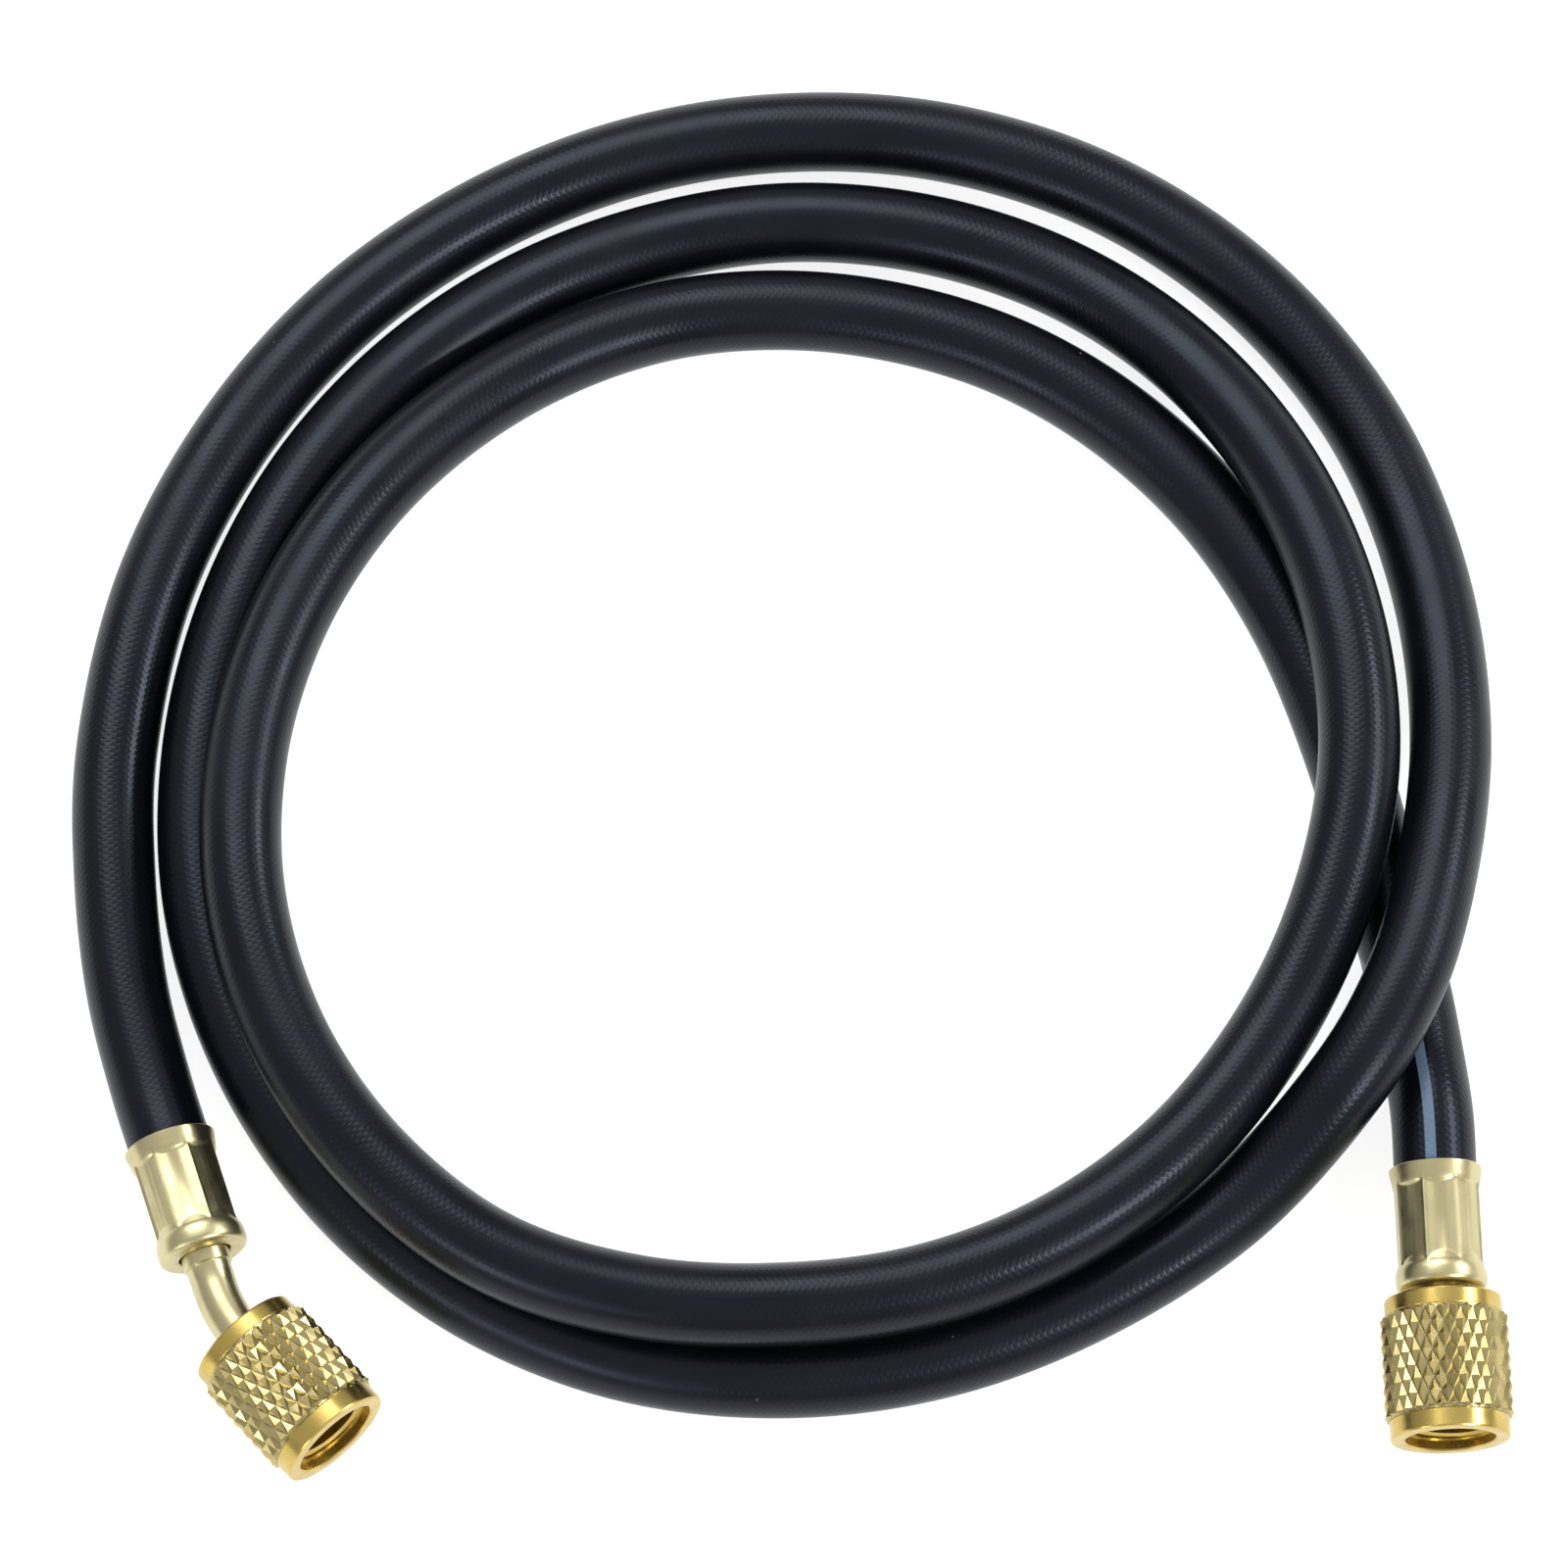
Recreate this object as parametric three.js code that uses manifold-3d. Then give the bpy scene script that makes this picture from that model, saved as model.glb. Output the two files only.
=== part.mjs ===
// Refrigerant charging hose with quarter-inch flare fittings, lying in loose turns on a level floor.
// One hose, a crimped ferrule and a turning knurled nut on each end; one end bends inside its nut.
// Millimetres, +Z up. The origin is on the floor under the middle of the coil, and both nuts open
// towards -Y. Each fitting is built along its own +Z, from the ferrule's lip towards the nut's mouth.
import * as THREE from "three";
import { mergeVertices } from "three/addons/utils/BufferGeometryUtils.js";
import Module from "manifold-3d";

// Clearances
const GAP = 0.3; // between neighbours that touch in the real hose
const HOLE_GAP = 0.5; // round the neck where it passes through the nut's back wall
const WELD = 1e-4;

// Hose
const HOSE_OD = 11.5;
const HOSE_BORE = 5.6;
const HOSE_BARB_BORE = 5.9; // stretched a little by the barb
const HOSE_TAPER = 1.6; // length over which the ferrule squeezes it
const HOSE_SIDES = 12;
const HOSE_STEPS = 80;

// Ferrule
const LIP_LENGTH = 2.7;
const CRIMP_LENGTH = 11.6;
const BULGE_LENGTH = 3;
const LIP_OD = 12.9;
const LIP_EDGE = 0.4;
const CRIMP_OD = 11.9; // over the narrow ribs that the jaws leave
const RIB_HEIGHT = 0.25;
const FLAT_COUNT = 8;
const CRIMP_WALL = 0.55; // under the middle of a flat
const BULGE_OD = 12.6;
const BULGE_ROUND = 1;
const FERRULE_END_WALL = 1.8;
const FERRULE_HOLE = 7.4;

// Stem
const PASSAGE = 2.8;
const BARB_COUNT = 4;
const BARB_DEPTH = 0.35;
const BARB_PITCH = 2.8;
const COLLAR_OD = 6.8;
const COLLAR_OUT = 1.8; // how far the collar stands out of the ferrule
const NECK_OD = 6.2;
const BEND_ANGLE = 23.5;
const BEND_RADIUS = 22;
const BEND_AT = 9.4; // corner of the bend, from the ferrule's end
const FLANGE_OD = 9.6;
const FLANGE_LENGTH = 2.5;
const FLANGE_EDGE = 0.4;
const COUNTERBORE_OD = 4.9;
const COUNTERBORE_DEPTH = 1.4;

// Nut
const KNURL_OD = 17.7;
const BACK_COLLAR_OD = 16.2;
const BACK_COLLAR_LENGTH = 2.4;
const KNURL_LENGTH = 14.7;
const FRONT_COLLAR_OD = 16.5;
const FRONT_COLLAR_LENGTH = 2.7;
const KNURL_EDGE = 0.5;
const COLLAR_EDGE = 0.3;
const BACK_WALL = 5;
const SOCKET_OD = 10.5; // mean of a 7/16-20 thread
const MOUTH_OD = 12.5;
const MOUTH_DEPTH = 1.8;
const BENT_NUT_BACK = 3.8; // nut's back face, beyond the corner of the bend
const STRAIGHT_NUT_BACK = 1.2; // nut's back face, beyond the ferrule's end

// Gasket and core depressor
const GASKET_LENGTH = 2.2;
const GASKET_HOLE = 4;
const DEPRESSOR_THICKNESS = 0.8;
const DEPRESSOR_LEG_WIDTH = 2;
const DEPRESSOR_LEG_LENGTH = 4;
const DEPRESSOR_SHOULDER_WIDTH = 4;
const DEPRESSOR_SHOULDER_LENGTH = 0.8;
const DEPRESSOR_NOSE_WIDTH = 1.8;
const DEPRESSOR_NOSE_OUT = 2.5; // beyond the gasket

// Places of the ferrules' lips, and the fittings' directions in degrees: yaw from -Y, tilt up from the floor
const BENT_LIP_X = -85.5;
const BENT_LIP_Y = -54.9;
const BENT_YAW = 18.3;
const BENT_TILT = 4;
const STRAIGHT_LIP_X = 89.9;
const STRAIGHT_LIP_Y = -59.3;
const STRAIGHT_YAW = 1.7;

// Facets round a fitting and its passage, along a bent stem, and over the ferrule's rounded end
const SIDES = 32;
const PASSAGE_SIDES = 12;
const BEND_STEP = 1.5;
const ROUND_STEPS = 3;

// Where the hose's middle goes, from the bent end clockwise to the straight end
const FLOOR = HOSE_OD / 2;
const ROUTE = [
  [-91.9, -33, FLOOR],
  [-94.2, -16, FLOOR],
  [-94.5, 2.5, FLOOR],
  [-89.7, 27.7, FLOOR],
  [-79, 50.5, FLOOR],
  [-63.8, 69.5, FLOOR],
  [-44.8, 83.9, FLOOR],
  [-23.4, 93.5, FLOOR],
  [-0.2, 97.7, FLOOR],
  [23.5, 96.1, FLOOR],
  [46.6, 88, FLOOR],
  [66.9, 73.3, FLOOR],
  [82.5, 52.9, 6],
  [91.3, 28, 8.2],
  [93.3, 0.5, 13],
  [88.5, -26.7, 18],
  [84, -38.2, 18.3],
  [77.6, -48.5, 16.5],
  [62.3, -64.3, 9],
  [43.1, -76.6, 6.3],
  [22, -84.9, FLOOR],
  [-0.2, -87.9, FLOOR],
  [-22.5, -85.4, FLOOR],
  [-43.4, -76.6, FLOOR],
  [-61.1, -62, FLOOR],
  [-74.2, -42.6, FLOOR],
  [-81.5, -20.5, FLOOR],
  [-82.4, 2.5, FLOOR],
  [-77.8, 24.4, FLOOR],
  [-68.4, 44.1, FLOOR],
  [-54.9, 60.3, FLOOR],
  [-38.4, 72.4, FLOOR],
  [-19.9, 80.1, FLOOR],
  [-0.2, 83.6, FLOOR],
  [20, 81.9, FLOOR],
  [39.5, 75, 6],
  [56.7, 61.7, 9],
  [70, 42.7, 13.7],
  [78, 20.8, 16.9],
  [80.1, -1.6, 18],
  [75.9, -22.6, 17],
  [67.1, -41.4, 15.6],
  [54, -57.9, 15.1],
  [37.7, -70, 15.1],
  [19.3, -77.4, 15.1],
  [-0.2, -80.1, 15.2],
  [-20.1, -79.3, 16],
  [-39.6, -73.4, 16.9],
  [-56.2, -60.5, 17.1],
  [-68.5, -42.9, 17],
  [-75.1, -22.2, 16.5],
  [-75.4, -0.9, 15.6],
  [-70.2, 19.3, 14.4],
  [-60.5, 37, 12.9],
  [-47.7, 51.2, 10.6],
  [-32.9, 61.8, 7.9],
  [-16.9, 68.2, 6.2],
  [-0.2, 70, FLOOR],
  [16.4, 68, FLOOR],
  [32.6, 62.5, FLOOR],
  [47.6, 53, FLOOR],
  [60.9, 39.7, FLOOR],
  [71.4, 22.7, FLOOR],
  [79, 2.5, FLOOR],
  [84.3, -19.3, FLOOR],
  [87.2, -32, 5.9],
  [88.7, -42, 7],
];
const STRAIGHT_RUN = 8; // hose in line with each fitting before its route begins

// Sizes that follow from those above
const FERRULE_LENGTH = LIP_LENGTH + CRIMP_LENGTH + BULGE_LENGTH;
const CAVITY_END = FERRULE_LENGTH - FERRULE_END_WALL;
const HOSE_END = CAVITY_END - 2 * GAP;
const CRIMP_START = LIP_LENGTH - HOSE_TAPER - GAP; // where the full hose ends
const CRIMP_FLATS_OD = CRIMP_OD - 2 * RIB_HEIGHT;
const CRIMP_BORE = CRIMP_FLATS_OD - 2 * CRIMP_WALL;
const HOSE_CRIMPED_OD = CRIMP_BORE - 2 * GAP;
const BARB_START = LIP_LENGTH / 2;
const NUT_LENGTH = BACK_COLLAR_LENGTH + KNURL_LENGTH + FRONT_COLLAR_LENGTH;
const FLANGE_START = BACK_WALL + GAP;
const FLANGE_END = FLANGE_START + FLANGE_LENGTH;
const GASKET_START = FLANGE_END + GAP;
const GASKET_END = GASKET_START + GASKET_LENGTH;
const BEND = THREE.MathUtils.degToRad(BEND_ANGLE);
const BEND_CORNER = FERRULE_LENGTH + BEND_AT;

const BRASS_PALE = new THREE.MeshStandardMaterial({ color: 0xcdbe82, metalness: 1, roughness: 0.25 });
const BRASS_YELLOW = new THREE.MeshStandardMaterial({ color: 0xbea541, metalness: 1, roughness: 0.3 });
const BLACK_RUBBER = new THREE.MeshStandardMaterial({ color: 0x15171b, metalness: 0, roughness: 0.45 });

const wasm = await Module();
wasm.setup();

function solidOf(geometry) {
  geometry.deleteAttribute("normal");
  geometry.deleteAttribute("uv");
  const merged = mergeVertices(geometry, WELD);
  return new wasm.Manifold(
    new wasm.Mesh({
      numProp: 3,
      vertProperties: merged.attributes.position.array,
      triVerts: new Uint32Array(merged.index.array),
    }),
  );
}

function meshOf(name, solid, material) {
  const { vertProperties, triVerts } = solid.getMesh();
  const geometry = new THREE.BufferGeometry();
  geometry.setAttribute("position", new THREE.BufferAttribute(vertProperties, 3));
  geometry.setIndex(new THREE.BufferAttribute(triVerts, 1));
  geometry.computeVertexNormals();
  const mesh = new THREE.Mesh(geometry, material);
  mesh.name = name;
  return mesh;
}

// A solid of revolution about +Z from [radius, height] corners, anticlockwise with the axis on the left.
function turned(profile, sides = SIDES) {
  const closed = profile[0][0] > 0 ? [...profile, profile[0]] : profile;
  const corners = closed.map(([radius, height]) => new THREE.Vector2(radius, height));
  return solidOf(new THREE.LatheGeometry(corners, sides).rotateX(Math.PI / 2));
}

function ring(outerDiameter, holeDiameter, from, to, sides = SIDES) {
  return turned(
    [
      [holeDiameter / 2, from],
      [outerDiameter / 2, from],
      [outerDiameter / 2, to],
      [holeDiameter / 2, to],
    ],
    sides,
  );
}

function circle(diameter, sides) {
  const points = [];
  for (let i = 0; i < sides; i++) {
    const angle = (2 * Math.PI * i) / sides;
    points.push(new THREE.Vector2(Math.cos(angle), Math.sin(angle)).multiplyScalar(diameter / 2));
  }
  return new THREE.Shape(points);
}

function ferrule() {
  const inner = HOSE_OD / 2 + GAP;
  const crimpEnd = LIP_LENGTH + CRIMP_LENGTH;
  const profile = [
    [inner, 0],
    [LIP_OD / 2 - LIP_EDGE, 0],
    [LIP_OD / 2, LIP_EDGE],
    [LIP_OD / 2, LIP_LENGTH - 2 * LIP_EDGE],
    [CRIMP_OD / 2, LIP_LENGTH],
    [CRIMP_OD / 2, crimpEnd],
    [BULGE_OD / 2, crimpEnd + (BULGE_OD - CRIMP_OD) / 2],
  ];
  for (let i = 0; i <= ROUND_STEPS; i++) {
    const angle = (Math.PI / 2) * (i / ROUND_STEPS);
    profile.push([
      BULGE_OD / 2 - BULGE_ROUND * (1 - Math.cos(angle)),
      FERRULE_LENGTH - BULGE_ROUND * (1 - Math.sin(angle)),
    ]);
  }
  profile.push(
    [FERRULE_HOLE / 2, FERRULE_LENGTH],
    [FERRULE_HOLE / 2, CAVITY_END],
    [CRIMP_BORE / 2, CAVITY_END],
    [CRIMP_BORE / 2, CRIMP_START + HOSE_TAPER],
    [inner, CRIMP_START + GAP],
  );
  let body = turned(profile);
  const jawDepth = CRIMP_OD / 2;
  for (let i = 0; i < FLAT_COUNT; i++) {
    const jaw = new THREE.BoxGeometry(CRIMP_OD, jawDepth, CRIMP_LENGTH);
    jaw.translate(0, (CRIMP_FLATS_OD + jawDepth) / 2, LIP_LENGTH + CRIMP_LENGTH / 2);
    jaw.rotateZ((2 * Math.PI * i) / FLAT_COUNT);
    body = body.subtract(solidOf(jaw));
  }
  return body;
}

// The stem's middle line: straight out of the ferrule, round its bend, then straight into the nut.
class StemLine extends THREE.Curve {
  constructor(bend, from, to) {
    super();
    Object.assign(this, { bend, from, to });
  }

  getPoint(t, target = new THREE.Vector3()) {
    const distance = THREE.MathUtils.lerp(this.from, this.to, t);
    const bendStart = BEND_CORNER - bendTangent(this.bend);
    const bendEnd = bendStart + BEND_RADIUS * this.bend;
    const turn = THREE.MathUtils.clamp((distance - bendStart) / BEND_RADIUS, 0, this.bend);
    const past = Math.max(0, distance - bendEnd);
    const across = BEND_RADIUS * (1 - Math.cos(turn)) + past * Math.sin(this.bend);
    const along = Math.min(distance, bendStart) + BEND_RADIUS * Math.sin(turn) + past * Math.cos(this.bend);
    return target.set(across, 0, along);
  }
}

function bendTangent(bend) {
  return BEND_RADIUS * Math.tan(bend / 2);
}

function bentRod(diameter, sides, line) {
  const steps = line.bend > 0 ? Math.ceil((line.to - line.from) / BEND_STEP) : 1;
  return solidOf(new THREE.ExtrudeGeometry(circle(diameter, sides), { steps, extrudePath: line }));
}

// The barb that grips the hose's bore, and the collar that stands in the ferrule's end hole.
function barbAndCollar() {
  const barb = HOSE_BARB_BORE / 2 - GAP;
  const profile = [
    [0, BARB_START],
    [barb - BARB_DEPTH, BARB_START],
  ];
  for (let i = 1; i <= BARB_COUNT; i++) {
    profile.push([barb, BARB_START + i * BARB_PITCH - BARB_DEPTH]);
    profile.push([barb - BARB_DEPTH, BARB_START + i * BARB_PITCH]);
  }
  const collarEnd = FERRULE_LENGTH + COLLAR_OUT;
  profile.push(
    [barb - BARB_DEPTH, HOSE_END + GAP],
    [COLLAR_OD / 2, HOSE_END + GAP],
    [COLLAR_OD / 2, collarEnd - COLLAR_EDGE],
    [COLLAR_OD / 2 - COLLAR_EDGE, collarEnd],
    [0, collarEnd],
  );
  return turned(profile);
}

// The flange that holds the nut on, in the nut's own measure.
function flange() {
  return turned([
    [0, FLANGE_START],
    [FLANGE_OD / 2 - FLANGE_EDGE, FLANGE_START],
    [FLANGE_OD / 2, FLANGE_START + FLANGE_EDGE],
    [FLANGE_OD / 2, FLANGE_END],
    [COUNTERBORE_OD / 2, FLANGE_END],
    [COUNTERBORE_OD / 2, FLANGE_END - COUNTERBORE_DEPTH],
    [0, FLANGE_END - COUNTERBORE_DEPTH],
  ]);
}

// Moves a solid from the nut's own measure to the fitting's, past the bend where there is one.
function atNut(solid, frame) {
  return solid.transform(frame.toArray());
}

function nutFrame(bend, corner, nutBack) {
  const frame = new THREE.Matrix4().makeTranslation(0, 0, corner);
  frame.multiply(new THREE.Matrix4().makeRotationY(bend));
  return frame.multiply(new THREE.Matrix4().makeTranslation(0, 0, nutBack));
}

// `toNut` is how far along the stem's middle line the nut's measure begins.
function stem(bend, toNut, frame) {
  const neck = new StemLine(bend, FERRULE_LENGTH, toNut + FLANGE_START + FLANGE_EDGE);
  const passage = new StemLine(bend, BARB_START - GAP, toNut + FLANGE_END);
  return barbAndCollar()
    .add(bentRod(NECK_OD, SIDES, neck))
    .add(atNut(flange(), frame))
    .subtract(bentRod(PASSAGE, PASSAGE_SIDES, passage));
}

function nut() {
  const knurlEnd = BACK_COLLAR_LENGTH + KNURL_LENGTH;
  return turned([
    [NECK_OD / 2 + HOLE_GAP, 0],
    [BACK_COLLAR_OD / 2 - COLLAR_EDGE, 0],
    [BACK_COLLAR_OD / 2, COLLAR_EDGE],
    [BACK_COLLAR_OD / 2, BACK_COLLAR_LENGTH],
    [KNURL_OD / 2 - KNURL_EDGE, BACK_COLLAR_LENGTH],
    [KNURL_OD / 2, BACK_COLLAR_LENGTH + KNURL_EDGE],
    [KNURL_OD / 2, knurlEnd - KNURL_EDGE],
    [KNURL_OD / 2 - KNURL_EDGE, knurlEnd],
    [FRONT_COLLAR_OD / 2, knurlEnd],
    [FRONT_COLLAR_OD / 2, NUT_LENGTH - COLLAR_EDGE],
    [FRONT_COLLAR_OD / 2 - COLLAR_EDGE, NUT_LENGTH],
    [MOUTH_OD / 2, NUT_LENGTH],
    [SOCKET_OD / 2, NUT_LENGTH - MOUTH_DEPTH],
    [SOCKET_OD / 2, BACK_WALL],
    [NECK_OD / 2 + HOLE_GAP, BACK_WALL],
  ]);
}

function gasket() {
  return ring(SOCKET_OD - 2 * GAP, GASKET_HOLE, GASKET_START, GASKET_END);
}

// A flat strip: its leg in the stem's passage, its shoulders in the counterbore, its nose through the gasket.
function coreDepressor() {
  const shoulderBack = FLANGE_END - COUNTERBORE_DEPTH + GAP;
  const shoulderFront = shoulderBack + DEPRESSOR_SHOULDER_LENGTH;
  const legBack = shoulderBack - DEPRESSOR_LEG_LENGTH;
  const half = [
    [DEPRESSOR_LEG_WIDTH / 2, legBack],
    [DEPRESSOR_LEG_WIDTH / 2, shoulderBack],
    [DEPRESSOR_SHOULDER_WIDTH / 2, shoulderBack],
    [DEPRESSOR_SHOULDER_WIDTH / 2, shoulderFront],
    [DEPRESSOR_NOSE_WIDTH / 2, shoulderFront],
    [DEPRESSOR_NOSE_WIDTH / 2, GASKET_END + DEPRESSOR_NOSE_OUT],
  ];
  const otherHalf = half.map(([x, y]) => [-x, y]).reverse();
  const shape = new THREE.Shape([...half, ...otherHalf].map(([x, y]) => new THREE.Vector2(x, y)));
  const geometry = new THREE.ExtrudeGeometry(shape, { depth: DEPRESSOR_THICKNESS, bevelEnabled: false });
  return solidOf(geometry.translate(0, 0, -DEPRESSOR_THICKNESS / 2).rotateX(Math.PI / 2));
}

// The hose's squeezed end inside a ferrule, in the fitting's measure. It starts within the full hose.
function crimpedEnd() {
  return ring(HOSE_CRIMPED_OD, HOSE_BARB_BORE, CRIMP_START - HOSE_TAPER, HOSE_END, HOSE_SIDES);
}

function fittingGroup(x, y, z, yaw, tilt) {
  const group = new THREE.Group();
  const upright = THREE.MathUtils.degToRad(90 - tilt);
  group.rotation.set(upright, 0, THREE.MathUtils.degToRad(yaw), "ZXY");
  group.position.set(x, y, z);
  group.updateMatrixWorld(true);
  return group;
}

// The bent fitting leans on the back edge of its nut's knurl, so its lip's height follows from the nut.
function bentLipHeight() {
  const tilt = THREE.MathUtils.degToRad(BENT_TILT);
  const nutRise = Math.sin(tilt) * Math.cos(BEND);
  const knurlHeight = (KNURL_OD / 2) * Math.sqrt(1 - nutRise ** 2);
  return knurlHeight - (BENT_NUT_BACK + BACK_COLLAR_LENGTH) * nutRise - BEND_CORNER * Math.sin(tilt);
}

const bentEnd = fittingGroup(BENT_LIP_X, BENT_LIP_Y, bentLipHeight(), BENT_YAW, BENT_TILT);
const straightEnd = fittingGroup(STRAIGHT_LIP_X, STRAIGHT_LIP_Y, KNURL_OD / 2, STRAIGHT_YAW, 0);

function hose() {
  const alongFitting = (group, height) => new THREE.Vector3(0, 0, height).applyMatrix4(group.matrixWorld);
  const path = new THREE.CatmullRomCurve3([
    alongFitting(bentEnd, CRIMP_START),
    alongFitting(bentEnd, -STRAIGHT_RUN),
    ...ROUTE.map((point) => new THREE.Vector3(...point)),
    alongFitting(straightEnd, -STRAIGHT_RUN),
    alongFitting(straightEnd, CRIMP_START),
  ]);
  const section = circle(HOSE_OD, HOSE_SIDES);
  section.holes.push(circle(HOSE_BORE, HOSE_SIDES));
  const tube = solidOf(new THREE.ExtrudeGeometry(section, { steps: HOSE_STEPS, extrudePath: path }));
  const ends = [bentEnd, straightEnd].map((group) => crimpedEnd().transform(group.matrixWorld.toArray()));
  return tube.add(ends[0]).add(ends[1]);
}

const bentFrame = nutFrame(BEND, BEND_CORNER, BENT_NUT_BACK);
const bentToNut = BEND_CORNER + BENT_NUT_BACK + BEND_RADIUS * BEND - 2 * bendTangent(BEND);
bentEnd.add(
  meshOf("bent_end_ferrule", ferrule(), BRASS_PALE),
  meshOf("bent_end_stem", stem(BEND, bentToNut, bentFrame), BRASS_PALE),
  meshOf("bent_end_nut", atNut(nut(), bentFrame), BRASS_YELLOW),
  meshOf("bent_end_gasket", atNut(gasket(), bentFrame), BLACK_RUBBER),
  meshOf("bent_end_core_depressor", atNut(coreDepressor(), bentFrame), BRASS_YELLOW),
);

const straightFrame = nutFrame(0, FERRULE_LENGTH, STRAIGHT_NUT_BACK);
straightEnd.add(
  meshOf("straight_end_ferrule", ferrule(), BRASS_PALE),
  meshOf("straight_end_stem", stem(0, FERRULE_LENGTH + STRAIGHT_NUT_BACK, straightFrame), BRASS_PALE),
  meshOf("straight_end_nut", atNut(nut(), straightFrame), BRASS_YELLOW),
  meshOf("straight_end_gasket", atNut(gasket(), straightFrame), BLACK_RUBBER),
);

const chargingHose = new THREE.Group();
chargingHose.add(meshOf("hose", hose(), BLACK_RUBBER), bentEnd, straightEnd);

export default chargingHose;
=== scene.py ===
import math

import bmesh
import bpy
import numpy as np
from mathutils import Matrix, Vector


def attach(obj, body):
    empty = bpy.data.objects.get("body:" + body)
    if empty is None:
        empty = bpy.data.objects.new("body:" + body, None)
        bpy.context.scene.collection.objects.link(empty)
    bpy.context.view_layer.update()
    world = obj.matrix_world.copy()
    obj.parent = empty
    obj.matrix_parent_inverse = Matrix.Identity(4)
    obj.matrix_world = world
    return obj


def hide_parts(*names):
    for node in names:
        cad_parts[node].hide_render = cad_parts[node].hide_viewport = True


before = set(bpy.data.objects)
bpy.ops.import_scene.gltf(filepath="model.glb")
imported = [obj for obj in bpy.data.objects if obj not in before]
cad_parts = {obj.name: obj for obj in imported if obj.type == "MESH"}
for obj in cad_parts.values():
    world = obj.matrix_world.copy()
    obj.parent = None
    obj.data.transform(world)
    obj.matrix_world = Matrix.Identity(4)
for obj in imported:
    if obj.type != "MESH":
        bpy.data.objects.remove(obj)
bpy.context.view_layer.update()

MM = 0.001

# Hose
HOSE_OD = 11.5
HOSE_BORE = 5.6
HOSE_CRIMPED_OD = 9.7
HOSE_TAPER = 1.6
HOSE_SIDES = 44
HOSE_STEP = 1.0
BORE_EVERY = 5  # rings of the outside to one of the bore
BRAID_CARRIERS = 24  # strands of the braid that run each way round
BRAID_PITCH = 0.97  # from one crossing to the next, along the hose
BRAID_HEIGHT = 0.024
GRAIN_SHARE = 0.12  # the die grain's height, as a share of the braid's
LINE_WIDTH = 1.5
LINE_TOP = 0.472  # turns up from underneath, near the straight end
LINE_TURN_FROM = 61  # before the straight end, where the line starts to turn up
LINE_TURN_TO = 36

# Ferrule
LIP_LENGTH = 2.7
CRIMP_LENGTH = 11.6
FERRULE_LENGTH = 17.3
LIP_OD = 12.9
CRIMP_OD = 11.7
RIB_OD = 12.24
CRIMP_FLAT = 5.58  # from the axis to the middle of a flat
CRIMP_CURVE = 0.12  # how much of its roundness a flat keeps
JAW_FLARE = 0.32  # how fast the jaws open at each end of the crimp
LIP_FLARE_END = 0.5  # past the lip's length
LIP_FLARE_SHARE = 0.5  # the lip's jaw opens over half the length of the bulge's
LIP_FLARE_STEPS = 4
BULGE_FLARE_START = 1.6  # before the crimp's end
BULGE_FLARE_STEPS = 7
RIB_REACH = math.radians(1.5)
FLAT_COUNT = 8
BULGE_OD = 12.6
FERRULE_END_WALL = 1.8
FERRULE_HOLE = 7.4
FERRULE_SIDES = 128
LIP_INNER_EDGE = 0.15
# In from the lip's outside, and along from its end
LIP_CURVE = ((0.1, 0), (0, 0.1), (0.05, 0.45), (0.14, 0.9), (0.24, 1.4), (0.33, 1.8))
BULGE_FOOT_OUT = 0.08  # from the flats' corners
BULGE_FOOT_ON = 0.12  # from the crimp
# In from the bulge's outside, and on from the crimp
BULGE_RISE = ((0.1, 0.5), (0.02, 0.8), (0, 1.1))
# In from the bulge's outside, and back from the ferrule's end
BULGE_ROUND = ((0, 1.05), (0.08, 0.65), (0.3, 0.29), (0.62, 0.07), (1, 0))

# Stem
PASSAGE = 2.8
BARB_OD = 5.3
BARB_DEPTH = 0.35
BARB_PITCH = 2.8
BARB_COUNT = 4
COLLAR_OD = 6.8
COLLAR_OUT = 1.8
NECK_OD = 6.2
BEND_ANGLE = math.radians(23.5)
BEND_RADIUS = 22
BEND_AT = 9.4
BEND_STEPS = 14
FLANGE_OD = 9.6
FLANGE_LENGTH = 2.5
COUNTERBORE_OD = 4.9
COUNTERBORE_DEPTH = 1.4
STEM_SIDES = 64
FLANGE_BACK_EDGE = 0.4
COUNTERBORE_EDGE = 0.1
NECK_ROOT = ((0.08, 0.02), (0, 0.15))  # out from the neck, and along from the collar

# Nut
KNURL_OD = 17.7
KNURL_DEPTH = 0.6
KNURL_STARTS = 30
KNURL_ROWS = 7  # half teeth along the nut
KNURL_EDGE = 0.5
BACK_COLLAR_OD = 16.2
BACK_COLLAR_LENGTH = 2.4
KNURL_LENGTH = 14.7
FRONT_COLLAR_OD = 16.5
NUT_LENGTH = 19.8
KNURL_SMOOTH = 22  # degrees, under which the teeth's faces blend
KNURL_CREST = 0.1  # how much the rolls flatten each tooth's point
CREST_REACH = 0.03  # below the knurl's outside, where nothing but the points stands
KNURL_RUNOUT = 0.1  # how far the knurl sinks at its ends
KNURL_LEAD = 0.05
SHOULDER_IN = 0.06
SHOULDER_ALONG = 0.12
SHOULDER_STEP = 0.01  # keeps the knurl's end and the front collar apart
BACK_WALL = 5
NUT_HOLE = 7.2
THREAD_MAJOR = 11.1
THREAD_MINOR = 9.75
THREAD_PITCH = 1.27
THREAD_START = 10.2
THREAD_TURNS = 6
THREAD_STEPS = 48  # to a turn
MOUTH_OD = 12.4
MOUTH_DEPTH = 1.4
MOUTH_STEP = 0.15
THREAD_ROOT_WIDTH = 0.93  # of the pitch
THREAD_CREST_WIDTH = 0.3  # of the root's width
THREAD_ROOTED = 0.15  # how far the ridge stands in the socket's wall
BENT_NUT_BACK = 3.8
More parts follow.
